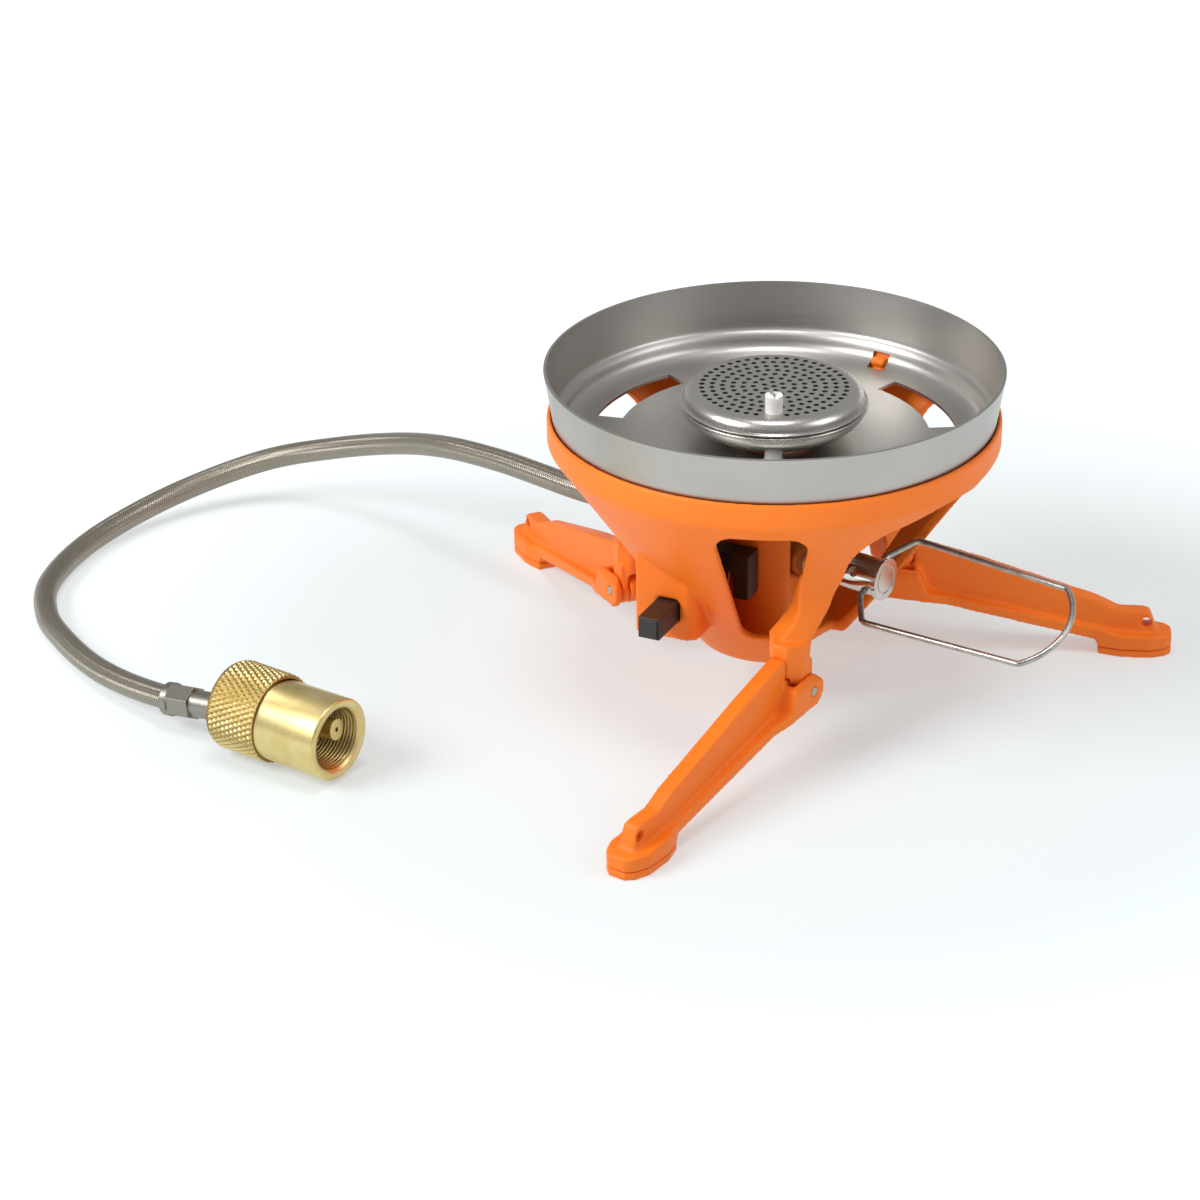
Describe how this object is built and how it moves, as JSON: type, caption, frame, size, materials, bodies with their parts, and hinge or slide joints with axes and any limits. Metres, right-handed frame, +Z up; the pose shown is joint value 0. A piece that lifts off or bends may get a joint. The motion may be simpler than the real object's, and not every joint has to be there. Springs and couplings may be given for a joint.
{
  "type": "remote canister camping stove",
  "caption": "Low camping gas burner with a steel flame ring, folding legs, a valve with a wire handle, a piezo igniter, and a braided hose that ends in a screw-on canister nut.",
  "frame": {"origin": "on the flame ring's axis, at the height of the surface that the feet stand on", "axes": "+Z up along the flame ring's axis; the igniter button faces -Y and -X, the knob faces +X and -Y, and the hose runs out towards -X"},
  "size_m": [0.3189, 0.218, 0.0927],
  "materials": {
    "plastic_orange": "glass-filled orange plastic, satin",
    "steel_ring": "satin stainless sheet",
    "steel_burner": "satin stainless sheet",
    "steel_small": "plain stainless",
    "brass": "turned brass, satin",
    "nickel": "bright nickel plate",
    "ceramic": "white glazed ceramic",
    "lead_insulation": "white silicone sleeve",
    "black_plastic": "black moulded plastic",
    "seal_rubber": "black rubber",
    "hose_braid": "rubber hose under a braided steel sleeve"
  },
  "bodies": {
    "stove": {"body_shell": "plastic_orange", "flame_ring": "steel_ring", "burner_cap": "steel_burner", "burner_cup": "steel_burner", "burner_screen": "steel_burner", "mixing_tube": "brass", "gas_jet": "brass", "electrode_ceramic": "ceramic", "electrode_wire": "steel_small", "ignition_lead": "lead_insulation", "valve_body": "brass", "gland_nut": "brass", "base_screw": "steel_small", "inlet_fitting": "brass", "hose_ferrule_inner": "steel_small", "piezo_body": "black_plastic", "piezo_bracket": "black_plastic", "piezo_spring": "steel_small", "hinge_pin_1": "steel_small", "hinge_pin_2": "steel_small", "hinge_pin_3": "steel_small", "spindle_seal": "seal_rubber", "hose": "hose_braid", "hose_ferrule_outer": "steel_small", "connector_stem": "brass", "connector_seal": "seal_rubber"},
    "knob": {"valve_spindle": "nickel", "valve_knob": "nickel", "knob_pin": "nickel"},
    "handle": {"wire_handle": "nickel"},
    "button": {"piezo_button": "black_plastic"},
    "leg_1": {"leg_1": "plastic_orange", "foot_pad_1": "plastic_orange"},
    "leg_2": {"leg_2": "plastic_orange", "foot_pad_2": "plastic_orange"},
    "leg_3": {"leg_3": "plastic_orange", "foot_pad_3": "plastic_orange"},
    "nut": {"connector_nut": "brass"}
  },
  "joints": [
    {"name": "leg_fold_1", "type": "hinge", "parent": "stove", "child": "leg_1", "pos_m": [0.00549, -0.04063, 0.02], "axis": [0.8329, -0.5534, 0], "range_deg": [0, 150]},
    {"name": "leg_fold_2", "type": "hinge", "parent": "stove", "child": "leg_2", "pos_m": [0.03244, 0.02507, 0.02], "axis": [0.0628, 0.998, 0], "range_deg": [0, 150]},
    {"name": "leg_fold_3", "type": "hinge", "parent": "stove", "child": "leg_3", "pos_m": [-0.03793, 0.01556, 0.02], "axis": [-0.8957, -0.4446, 0], "range_deg": [0, 150]},
    {"name": "knob_turn", "type": "hinge", "parent": "stove", "child": "knob", "pos_m": [0.02357, -0.01548, 0.04], "axis": [0.8358, -0.549, 0], "range_deg": [0, 540]},
    {"name": "handle_swing", "type": "hinge", "parent": "knob", "child": "handle", "pos_m": [0.02658, -0.01746, 0.04], "axis": [0.4976, 0.7575, 0.4226], "range_deg": [-30, 40]},
    {"name": "button_press", "type": "slide", "parent": "stove", "child": "button", "axis": [0.3907, 0.9205, 0], "range_m": [0, 0.004], "stiffness_N_per_m": 1500, "springref_m": -0.001, "deforming": ["piezo_spring"]},
    {"name": "nut_spin", "type": "hinge", "parent": "stove", "child": "nut", "pos_m": [-0.1103, -0.059, 0.0121], "axis": [0.8387, -0.5446, 0], "continuous": true}
  ]
}
